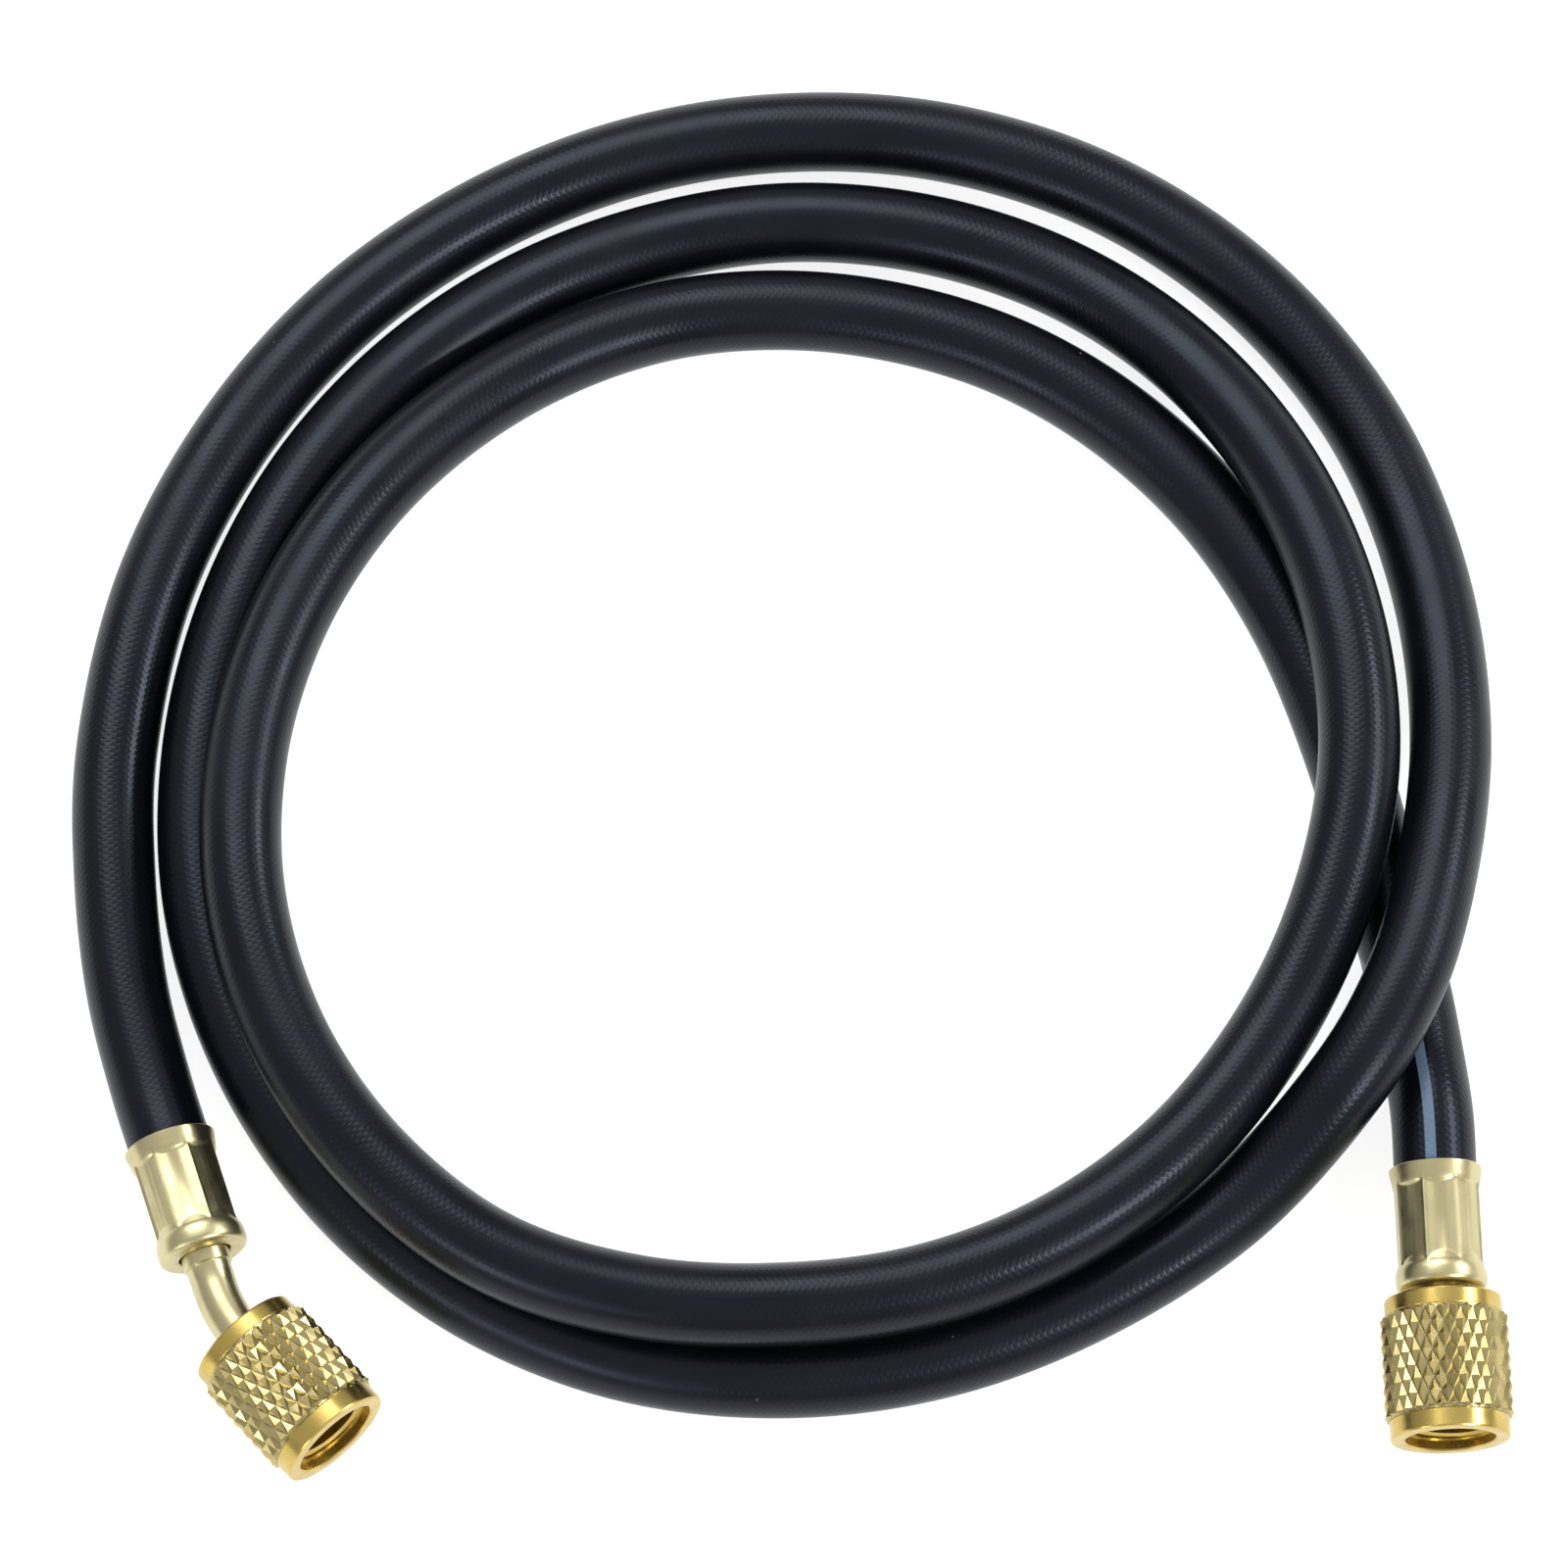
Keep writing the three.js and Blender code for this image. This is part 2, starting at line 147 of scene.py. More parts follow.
STRAIGHT_NUT_BACK = 1.2

# Edges
EDGE_ROUND = 0.3
EDGE_CORNER = 0.09  # how far in a rounded edge passes its corner
HOLE_EDGE = 0.2

# Gasket and core depressor
GAP = 0.3
GASKET_OD = 9.7
GASKET_LENGTH = 2.2
GASKET_HOLE = 4
GASKET_SIDES = 48
# The gasket's other rounded edges: how round, and how far in each passes its corner
GASKET_HOLE_BACK = (0.25, 0.08)
GASKET_FRONT = (0.4, 0.12)
GASKET_HOLE_FRONT = (0.35, 0.1)
DEPRESSOR_THICKNESS = 0.8
DEPRESSOR_EDGE = 0.08
LEG_LENGTH = 4
LEG_WIDTH = 2
SHOULDER_WIDTH = 4
SHOULDER_LENGTH = 0.8
NOSE_WIDTH = 1.8
NOSE_OUT = 2.1  # past the gasket
NOSE_TIP_WIDTH = 1.2
NOSE_TIP = 0.4
WIDTH_STEP = 0.05  # length over which the strip's width changes

# Places of the ferrules' lips, and the fittings' directions in degrees
BENT_LIP = (-85.5, -54.9, 6.573)
BENT_YAW = 18.3
BENT_TILT = 4
STRAIGHT_LIP = (89.9, -59.3, 8.85)
STRAIGHT_YAW = 1.7

# Where the hose's middle goes, from the bent end clockwise to the straight end
FLOOR = HOSE_OD / 2
ROUTE = [
    (-91.9, -33, FLOOR), (-94.2, -16, FLOOR), (-94.5, 2.5, FLOOR), (-89.7, 27.7, FLOOR),
    (-79, 50.5, FLOOR), (-63.8, 69.5, FLOOR), (-44.8, 83.9, FLOOR), (-23.4, 93.5, FLOOR),
    (-0.2, 97.7, FLOOR), (23.5, 96.1, FLOOR), (46.6, 88, FLOOR), (66.9, 73.3, FLOOR),
    (82.5, 52.9, 6), (91.3, 28, 8.2), (93.3, 0.5, 13), (88.5, -26.7, 18),
    (84, -38.2, 18.3), (77.6, -48.5, 16.5), (62.3, -64.3, 9), (43.1, -76.6, 6.3),
    (22, -84.9, FLOOR), (-0.2, -87.9, FLOOR), (-22.5, -85.4, FLOOR), (-43.4, -76.6, FLOOR),
    (-61.1, -62, FLOOR), (-74.2, -42.6, FLOOR), (-81.5, -20.5, FLOOR), (-82.4, 2.5, FLOOR),
    (-77.8, 24.4, FLOOR), (-68.4, 44.1, FLOOR), (-54.9, 60.3, FLOOR), (-38.4, 72.4, FLOOR),
    (-19.9, 80.1, FLOOR), (-0.2, 83.6, FLOOR), (20, 81.9, FLOOR), (39.5, 75, 6),
    (56.7, 61.7, 9), (70, 42.7, 13.7), (78, 20.8, 16.9), (80.1, -1.6, 18),
    (75.9, -22.6, 17), (67.1, -41.4, 15.6), (54, -57.9, 15.1), (37.7, -70, 15.1),
    (19.3, -77.4, 15.1), (-0.2, -80.1, 15.2), (-20.1, -79.3, 16), (-39.6, -73.4, 16.9),
    (-56.2, -60.5, 17.1), (-68.5, -42.9, 17), (-75.1, -22.2, 16.5), (-75.4, -0.9, 15.6),
    (-70.2, 19.3, 14.4), (-60.5, 37, 12.9), (-47.7, 51.2, 10.6), (-32.9, 61.8, 7.9),
    (-16.9, 68.2, 6.2), (-0.2, 70, FLOOR), (16.4, 68, FLOOR), (32.6, 62.5, FLOOR),
    (47.6, 53, FLOOR), (60.9, 39.7, FLOOR), (71.4, 22.7, FLOOR), (79, 2.5, FLOOR),
    (84.3, -19.3, FLOOR), (87.2, -32, 5.9), (88.7, -42, 7),
]
STRAIGHT_RUN = 8
ROUTE_STEPS = 24  # places worked out along each span of the route

# Sizes that follow from those above
CAVITY_END = FERRULE_LENGTH - FERRULE_END_WALL
HOSE_END = CAVITY_END - 2 * GAP
CRIMP_START = LIP_LENGTH - HOSE_TAPER - GAP
CRIMP_END = LIP_LENGTH + CRIMP_LENGTH
FLANGE_START = BACK_WALL + GAP
FLANGE_END = FLANGE_START + FLANGE_LENGTH
GASKET_START = FLANGE_END + GAP
GASKET_END = GASKET_START + GASKET_LENGTH
BEND_CORNER = FERRULE_LENGTH + BEND_AT
BEND_TANGENT = BEND_RADIUS * math.tan(BEND_ANGLE / 2)
FLAT_CORNER = CRIMP_FLAT / math.cos(math.pi / FLAT_COUNT)
FLARE_LENGTH = (FLAT_CORNER - CRIMP_FLAT) / JAW_FLARE

# How the pieces are made
NEAR = 0.01  # a vertex this near a ring belongs to it
MERGE_UNDER = 0.002
PIECE_SMOOTH = 35  # degrees, under which faces blend


def fitting_place(lip, yaw, tilt):
    """Where a fitting lies, by its lip, its turn from -Y and its tilt from level."""
    about_upright = Matrix.Rotation(math.radians(yaw), 4, "Z")
    turned = about_upright @ Matrix.Rotation(math.radians(90 - tilt), 4, "X")
    return Matrix.Translation(Vector(lip) * MM) @ turned


BENT_PLACE = fitting_place(BENT_LIP, BENT_YAW, BENT_TILT)
STRAIGHT_PLACE = fitting_place(STRAIGHT_LIP, STRAIGHT_YAW, 0)


# Camera: the whole coil from the front, well above it

CAMERA_ELEVATION = math.radians(71.5)
CAMERA_AWAY = 1112
CAMERA_AIM = (-0.2, 0, 0)
CAMERA_LENS = 180
CAMERA_SENSOR = 36

camera_data = bpy.data.cameras.new("camera")
camera_data.lens = CAMERA_LENS
camera_data.sensor_width = CAMERA_SENSOR
camera = bpy.data.objects.new("camera", camera_data)
bpy.context.scene.collection.objects.link(camera)
camera_side = Vector((0, -math.cos(CAMERA_ELEVATION), math.sin(CAMERA_ELEVATION)))
camera.location = (Vector(CAMERA_AIM) + camera_side * CAMERA_AWAY) * MM
camera.rotation_euler = (math.pi / 2 - CAMERA_ELEVATION, 0, 0)
bpy.context.scene.camera = camera


# Materials

# How many of each pattern there are to a metre
COVER_PATCHES = 25.0  # 40 mm
DIE_GRAINS = 2500.0  # 0.4 mm
HANDLED_PATCHES = 70.0  # about 15 mm
CHALK_CELLS = 260.0  # about 4 mm
BRASS_PATCHES = 300.0  # about 3 mm
MOULD_GRAINS = 5000.0  # 0.2 mm

# Most values of a noise lie between these
NOISE_LOW = 0.3
NOISE_HIGH = 0.7

# Hose's cover
COVER_THIN = 0.65  # of the noise: the braid shows in full
COVER_THICK = 0.35
BRAID_LEAST = 0.25  # of its height, where the cover is thick
RUBBER_GLOSSY = 0.27
RUBBER_HANDLED = 0.4
RUBBER_IOR = 1.35
LINE_EDGE = 0.08  # of its half width
LINE_WORN = 0.85  # of its ink, where it is worn most
CHALK_MIDDLE = 0.03  # of a cell
CHALK_EDGE = 0.05
CHALK_STRENGTH = 0.5
CHALK_BARE = 0.93  # share of the cells that have no speck

# Brass
TARNISH_LOW = 0.4  # of the noise
BRASS_GLOSSIER = 0.04
BRASS_DULLER = 0.08
BLOOM_TOP = 0.1  # below a tooth's crest
BLOOM_REACH = 0.15  # below the valleys
BLOOM_IN_VALLEY = 0.85
BLOOM_ON_CREST = 0.3
TOOL_MARK = 0.15
TOOL_MARK_HEIGHT = 0.02
TOOL_MARK_STRENGTH = 0.2

# Gaskets
MOULD_GRAIN_HEIGHT = 0.05
MOULD_GRAIN_STRENGTH = 0.3
NITRILE_ROUGHNESS = 0.6


def linear(hex_colour):
    """The linear red, green, blue and alpha of an sRGB colour written as six hex digits."""
    parts = [int(hex_colour[i : i + 2], 16) / 255 for i in (0, 2, 4)]
    return (*(c / 12.92 if c <= 0.04045 else ((c + 0.055) / 1.055) ** 2.4 for c in parts), 1)


def add(tree, kind, inputs=None, **settings):
    """Adds a node with its settings and its inputs, which are values, or sockets to link."""
    made = tree.nodes.new("ShaderNode" + kind)
    for name, value in settings.items():
        setattr(made, name, value)
    for name, value in (inputs or {}).items():
        if isinstance(value, bpy.types.NodeSocket):
            tree.links.new(value, made.inputs[name])
        else:
            made.inputs[name].default_value = value
    return made


def new_material(name):
    """An empty material's tree with its shader and output, and the shader."""
    made = bpy.data.materials.new(name)
    made.use_nodes = True
    made.node_tree.nodes.clear()
    shader = add(made.node_tree, "BsdfPrincipled")
    add(made.node_tree, "OutputMaterial", {"Surface": shader.outputs["BSDF"]})
    return made, made.node_tree, shader


def extruded_rubber():
    """Synthetic rubber cover extruded over a textile braid: semi-gloss blue-black, with the braid's
    crossings raised as rows of small soft bumps that catch the light, and one printed lay line."""
    made, tree, shader = new_material("extruded_rubber_cover")
    along = add(tree, "UVMap", uv_map="along").outputs["UV"]
    split = add(tree, "SeparateXYZ", {0: along})
    turns, length = split.outputs["X"], split.outputs["Y"]
    place = add(tree, "TexCoord").outputs["Object"]

    # Braid: two families of strands cross at the carriers' pitch round the hose
    turn_waves = 2 * math.pi * BRAID_CARRIERS
    length_waves = 2 * math.pi / (BRAID_PITCH * MM)
    around = add(tree, "Math", {0: turns, 1: turn_waves}, operation="MULTIPLY").outputs[0]
    lengthwise = add(tree, "Math", {0: length, 1: length_waves}, operation="MULTIPLY").outputs[0]
    strands = []
    for direction in ("ADD", "SUBTRACT"):
        phase = add(tree, "Math", {0: around, 1: lengthwise}, operation=direction).outputs[0]
        wave = add(tree, "Math", {0: phase}, operation="COSINE").outputs[0]
        raised = add(tree, "Math", {0: wave, 1: 0.5, 2: 0.5}, operation="MULTIPLY_ADD")
        strands.append(raised.outputs[0])
    crossing = add(tree, "Math", {0: strands[0], 1: strands[1]}, operation="MULTIPLY").outputs[0]
    # The cover is a little thicker in places, about 40 mm long, and hides most of the braid there
    cover = add(tree, "TexNoise", {"Vector": place, "Scale": COVER_PATCHES, "Detail": 1.0})
    thinness = {0: cover.outputs[0], 1: COVER_THICK, 2: COVER_THIN, 3: BRAID_LEAST, 4: 1.0}
    shown = add(tree, "MapRange", thinness).outputs[0]
    braid = add(tree, "Math", {0: crossing, 1: shown}, operation="MULTIPLY").outputs[0]
    # Die grain, drawn twice as coarse as real so that it shows
    grain = add(tree, "TexNoise", {"Vector": place, "Scale": DIE_GRAINS, "Detail": 2.0}).outputs[0]
    relief = {0: grain, 1: GRAIN_SHARE, 2: braid}
    height = add(tree, "Math", relief, operation="MULTIPLY_ADD").outputs[0]
    bump = add(tree, "Bump", {"Height": height, "Strength": 1.0, "Distance": BRAID_HEIGHT * MM})

    # Handling leaves patches about 15 mm across a little duller
    handled = add(tree, "TexNoise", {"Vector": place, "Scale": HANDLED_PATCHES, "Detail": 3.0})
    touched = {0: handled.outputs[0], 1: NOISE_LOW, 2: NOISE_HIGH}
    gloss = add(tree, "MapRange", {**touched, 3: RUBBER_GLOSSY, 4: RUBBER_HANDLED}).outputs[0]

    # Lay line: on top near the straight end, and underneath along the rest of the hose
    turn_from = (hose_length - LINE_TURN_FROM) * MM
    turn_to = (hose_length - LINE_TURN_TO) * MM
    rise = {0: length, 1: turn_from, 2: turn_to, 3: 0.0, 4: LINE_TOP}
    line_turn = add(tree, "MapRange", rise, interpolation_type="SMOOTHSTEP").outputs[0]
    across = add(tree, "Math", {0: turns, 1: line_turn}, operation="SUBTRACT").outputs[0]
    wrapped = add(tree, "Math", {0: across, 1: 0.5, 2: -0.5}, operation="WRAP").outputs[0]
    away = add(tree, "Math", {0: wrapped}, operation="ABSOLUTE").outputs[0]
    half_width = LINE_WIDTH / 2 / (math.pi * HOSE_OD)
    inside, past = half_width * (1 - LINE_EDGE), half_width * (1 + LINE_EDGE)
    line = add(tree, "MapRange", {0: away, 1: inside, 2: past, 3: 1.0, 4: 0.0}).outputs[0]
    worn = add(tree, "MapRange", {**touched, 3: LINE_WORN, 4: 1.0}).outputs[0]
    printed = add(tree, "Math", {0: line, 1: worn}, operation="MULTIPLY").outputs[0]

    # Fine chalk specks about 0.3 mm across, one in fourteen of the cells
    dots = add(tree, "TexVoronoi", {"Vector": place, "Scale": CHALK_CELLS})
    spot = {0: dots.outputs["Distance"], 1: CHALK_MIDDLE, 2: CHALK_EDGE, 3: CHALK_STRENGTH, 4: 0.0}
    speck = add(tree, "MapRange", spot).outputs[0]
    few = add(tree, "SeparateXYZ", {0: dots.outputs["Color"]}).outputs["X"]
    some = add(tree, "Math", {0: few, 1: CHALK_BARE}, operation="GREATER_THAN").outputs[0]
    chalk = add(tree, "Math", {0: speck, 1: some}, operation="MULTIPLY").outputs[0]

    tints = {"Factor": handled.outputs[0], "A": linear("05070A"), "B": linear("090B10")}
    black = add(tree, "Mix", tints, data_type="RGBA").outputs["Result"]
    ink = {"Factor": printed, "A": black, "B": linear("5E7187")}
    striped = add(tree, "Mix", ink, data_type="RGBA").outputs["Result"]
    dust = {"Factor": chalk, "A": striped, "B": linear("8A8C90")}
    colour = add(tree, "Mix", dust, data_type="RGBA").outputs["Result"]
    tree.links.new(colour, shader.inputs["Base Color"])
    tree.links.new(gloss, shader.inputs["Roughness"])
    tree.links.new(bump.outputs["Normal"], shader.inputs["Normal"])
    shader.inputs["IOR"].default_value = RUBBER_IOR
    shader.inputs["Specular Tint"].default_value = linear("DEE9FF")
    return made


def turned_brass(name, bright, dull, roughness, crest=None):
    """Free-cutting brass turned on a lathe: bright, with small dull patches where it was handled.
    Where there is a knurl up to `crest`, its valleys keep a brown-grey bloom of dried cutting oil,
    and the tool's rings blur the reflections a little."""
    made, tree, shader = new_material(name)
    own = add(tree, "Attribute", attribute_name="own").outputs["Vector"]
    patches = add(tree, "TexNoise", {"Vector": own, "Scale": BRASS_PATCHES, "Detail": 4.0}).outputs[0]
    tarnished = {0: patches, 1: TARNISH_LOW, 2: NOISE_HIGH, 3: 0.0, 4: 1.0}
    tarnish = add(tree, "MapRange", tarnished).outputs[0]
    tints = {"Factor": tarnish, "A": linear(bright), "B": linear(dull)}
    colour = add(tree, "Mix", tints, data_type="RGBA").outputs["Result"]
    if crest:
        split = add(tree, "SeparateXYZ", {0: own})
        height = split.outputs["Z"]
        flat = add(tree, "CombineXYZ", {"X": split.outputs["X"], "Y": split.outputs["Y"]}).outputs[0]
        radius = add(tree, "VectorMath", {0: flat}, operation="LENGTH").outputs["Value"]

        # The bloom lies on the teeth alone: outside, and between the collars
        deep, shallow = (crest - KNURL_DEPTH) * MM, (crest - BLOOM_TOP) * MM
        fade = {0: radius, 1: deep, 2: shallow, 3: BLOOM_IN_VALLEY, 4: BLOOM_ON_CREST}
        bloom = add(tree, "MapRange", fade).outputs[0]
        knurl_end = (BACK_COLLAR_LENGTH + KNURL_LENGTH) * MM
        for measure, side, limit in (
            (height, "GREATER_THAN", BACK_COLLAR_LENGTH * MM),
            (height, "LESS_THAN", knurl_end),
            (radius, "GREATER_THAN", deep - BLOOM_REACH * MM),
        ):
            there = add(tree, "Math", {0: measure, 1: limit}, operation=side).outputs[0]
            bloom = add(tree, "Math", {0: bloom, 1: there}, operation="MULTIPLY").outputs[0]
        oily = {"Factor": bloom, "A": colour, "B": linear("B0A880")}
        colour = add(tree, "Mix", oily, data_type="RGBA").outputs["Result"]

        # Tool marks 0.1 mm apart, drawn 0.15 mm apart so that they show
        ring = add(tree, "Math", {0: height, 1: radius}, operation="ADD").outputs[0]
        rings = {"W": ring, "Scale": 1 / (TOOL_MARK * MM), "Detail": 3.0}
        marks = add(tree, "TexNoise", rings, noise_dimensions="1D").outputs[0]
        relief = {"Strength": TOOL_MARK_STRENGTH, "Distance": TOOL_MARK_HEIGHT * MM}
        bump = add(tree, "Bump", {"Height": marks, **relief})
        tree.links.new(bump.outputs["Normal"], shader.inputs["Normal"])
    glossy, matt = roughness - BRASS_GLOSSIER, roughness + BRASS_DULLER
    blurred = {0: patches, 1: NOISE_LOW, 2: NOISE_HIGH, 3: glossy, 4: matt}
    shine = add(tree, "MapRange", blurred).outputs[0]
    tree.links.new(colour, shader.inputs["Base Color"])
    tree.links.new(shine, shader.inputs["Roughness"])
    shader.inputs["Metallic"].default_value = 1.0
    return made


def moulded_rubber():
    """Nitrile rubber moulded as a ring: dull black with a fine mould grain."""
    made, tree, shader = new_material("moulded_nitrile_rubber")
    own = add(tree, "Attribute", attribute_name="own").outputs["Vector"]
    grain = add(tree, "TexNoise", {"Vector": own, "Scale": MOULD_GRAINS, "Detail": 2.0}).outputs[0]
    tints = {"Factor": grain, "A": linear("0E0E0F"), "B": linear("1D1D1E")}
    colour = add(tree, "Mix", tints, data_type="RGBA").outputs["Result"]
    relief = {"Strength": MOULD_GRAIN_STRENGTH, "Distance": MOULD_GRAIN_HEIGHT * MM}
    bump = add(tree, "Bump", {"Height": grain, **relief})
    tree.links.new(colour, shader.inputs["Base Color"])
    tree.links.new(bump.outputs["Normal"], shader.inputs["Normal"])
    shader.inputs["Roughness"].default_value = NITRILE_ROUGHNESS
    return made


# Hose


def smooth_line(points, per_span):
    """A centripetal curve through the points, the same one that the hose's solid follows."""
    points = [np.array(p, float) for p in points]
    guides = [2 * points[0] - points[1], *points, 2 * points[-1] - points[-2]]
    line = []
    for a, b, c, d in zip(guides, guides[1:], guides[2:], guides[3:]):
        before, here, after = (np.linalg.norm(q - p) ** 0.5 for p, q in ((a, b), (b, c), (c, d)))
        leave = here * ((b - a) / before - (c - a) / (before + here) + (c - b) / here)
        arrive = here * ((c - b) / here - (d - b) / (here + after) + (d - c) / after)
        for t in np.arange(per_span) / per_span:
            bow = t * t * (3 * (c - b) - 2 * leave - arrive) + t**3 * (2 * (b - c) + leave + arrive)
            line.append(b + t * leave + bow)
    line.append(points[-1])
    return np.array(line)


def on_axis(place, height):
    """A place on a fitting's axis, at a height from its lip."""
    return np.array(place @ Vector((0, 0, height * MM))) / MM


route = smooth_line(
    [
        on_axis(BENT_PLACE, CRIMP_START),
        on_axis(BENT_PLACE, -STRAIGHT_RUN),
        *ROUTE,
        on_axis(STRAIGHT_PLACE, -STRAIGHT_RUN),
        on_axis(STRAIGHT_PLACE, CRIMP_START),
    ],
    ROUTE_STEPS,
)
whole = np.array([on_axis(BENT_PLACE, HOSE_END), *route, on_axis(STRAIGHT_PLACE, HOSE_END)])
distance = np.concatenate([[0], np.cumsum(np.linalg.norm(np.diff(whole, axis=0), axis=1))])
hose_length = distance[-1]
stations = np.linspace(0, hose_length, int(hose_length / HOSE_STEP) + 1)
centres = np.stack([np.interp(stations, distance, whole[:, k]) for k in range(3)], axis=1)


def tube_of(centres, stations):
    """The hose's wall: outside, then back along the bore, with its ends squeezed inside the ferrules."""
    directions = np.gradient(centres, axis=0)
    directions /= np.linalg.norm(directions, axis=1)[:, None]
    sides = np.cross(directions, (0, 0, 1))
    sides /= np.linalg.norm(sides, axis=1)[:, None]
    ups = np.cross(sides, directions)
    from_end = np.minimum(stations, stations[-1] - stations)
    squeeze_start = HOSE_END - CRIMP_START - HOSE_TAPER
    eased = np.clip((from_end - squeeze_start) / HOSE_TAPER, 0, 1)
    eased = eased * eased * (3 - 2 * eased)
    outer = (HOSE_CRIMPED_OD + (HOSE_OD - HOSE_CRIMPED_OD) * eased) / 2
    angles = 2 * math.pi * np.arange(HOSE_SIDES) / HOSE_SIDES
    bore_rings = list(range(len(centres) - 1, 0, -BORE_EVERY)) + [0]
    rings = [(i, outer[i]) for i in range(len(centres))] + [(i, HOSE_BORE / 2) for i in bore_rings]
    points = []
    for i, radius in rings:
        for angle in angles:  # from underneath, round by the side that is on the right along the hose
            points.append(centres[i] + radius * (sides[i] * math.sin(angle) - ups[i] * math.cos(angle)))
    faces, marks = [], []
    count = len(rings)
    for k in range(count):
        after = (k + 1) % count
        here, there = k * HOSE_SIDES, after * HOSE_SIDES
        for s in range(HOSE_SIDES):
            t = (s + 1) % HOSE_SIDES
            faces.append((here + s, here + t, there + t, there + s))
            for ring, side in ((k, s), (k, s + 1), (after, s + 1), (after, s)):
                marks.append((side / HOSE_SIDES, stations[rings[ring][0]] * MM))
    mesh = bpy.data.meshes.new("hose_cover")
    mesh.from_pydata([tuple(p * MM) for p in points], [], faces)
    layer = mesh.uv_layers.new(name="along")
    layer.data.foreach_set("uv", np.array(marks, np.float32).ravel())
    mesh.shade_smooth()
    made = bpy.data.objects.new("hose_cover", mesh)
    bpy.context.scene.collection.objects.link(made)
    return made


# Turned pieces


def deselect():
    """Leaves edit mode, and selects nothing."""
    if bpy.context.object and bpy.context.object.mode == "EDIT":
        bpy.ops.object.mode_set(mode="OBJECT")
    bpy.ops.object.select_all(action="DESELECT")


def start_ring(name, radius, height, sides):
    """A ring at a height on the Z axis, open for editing. Returns the tool's place on its way."""
    deselect()
    bpy.ops.mesh.primitive_circle_add(vertices=sides, radius=radius * MM, location=(0, 0, 0))
    bpy.context.object.name = name
    bpy.ops.object.mode_set(mode="EDIT")
    bpy.ops.mesh.select_mode(type="VERT")
    bpy.ops.mesh.select_all(action="SELECT")
    bpy.ops.transform.translate(value=(0, 0, height * MM))
    return {"at": Vector((0, 0, height)), "along": Vector((0, 0, 1)), "radius": radius, "height": height}


def draw_out(tool, profile):
    """Extrudes the ring through each (radius, height), as a turner follows a profile."""
    for radius, height in profile:
        step = tool["along"] * (height - tool["height"])
        bpy.ops.mesh.extrude_region_move(TRANSFORM_OT_translate={"value": step * MM})
        tool["at"] += step
        tool["height"] = height
        if radius != tool["radius"]:
            ratio = radius / tool["radius"]
            bpy.ops.transform.resize(value=(ratio, ratio, ratio), center_override=tool["at"] * MM)
            tool["radius"] = radius


def bend_round(tool, angle):
    """Spins the ring about the bend's centre, which lies towards +X, on the way out or back."""
    toward = Vector((0, 1, 0)).cross(tool["along"])
    centre = tool["at"] + toward * BEND_RADIUS
    sign = 1 if angle > 0 else -1
    bpy.ops.mesh.spin(
        steps=BEND_STEPS, angle=abs(angle), center=centre * MM, axis=(0, -sign, 0), use_auto_merge=False
    )
    turn = Matrix.Rotation(angle, 3, "Y")
    tool["at"] = centre + turn @ (tool["at"] - centre)
    tool["along"] = turn @ tool["along"]
    tool["height"] += BEND_RADIUS * angle


def pick(test):
    """Selects the vertices whose place passes the test, and nothing else."""
    bpy.ops.mesh.select_mode(type="VERT")
    mesh = bmesh.from_edit_mesh(bpy.context.object.data)
    for vertex in mesh.verts:
        vertex.select_set(bool(test(vertex.co / MM)))
    mesh.select_flush(True)
    bmesh.update_edit_mesh(bpy.context.object.data)


def close_up():
    """Joins the last ring to the first, and points the faces outwards."""
    bpy.ops.mesh.select_all(action="SELECT")
    bpy.ops.mesh.remove_doubles(threshold=MERGE_UNDER * MM)
    bpy.ops.mesh.normals_make_consistent(inside=False)
    bpy.ops.object.mode_set(mode="OBJECT")
    return bpy.context.object


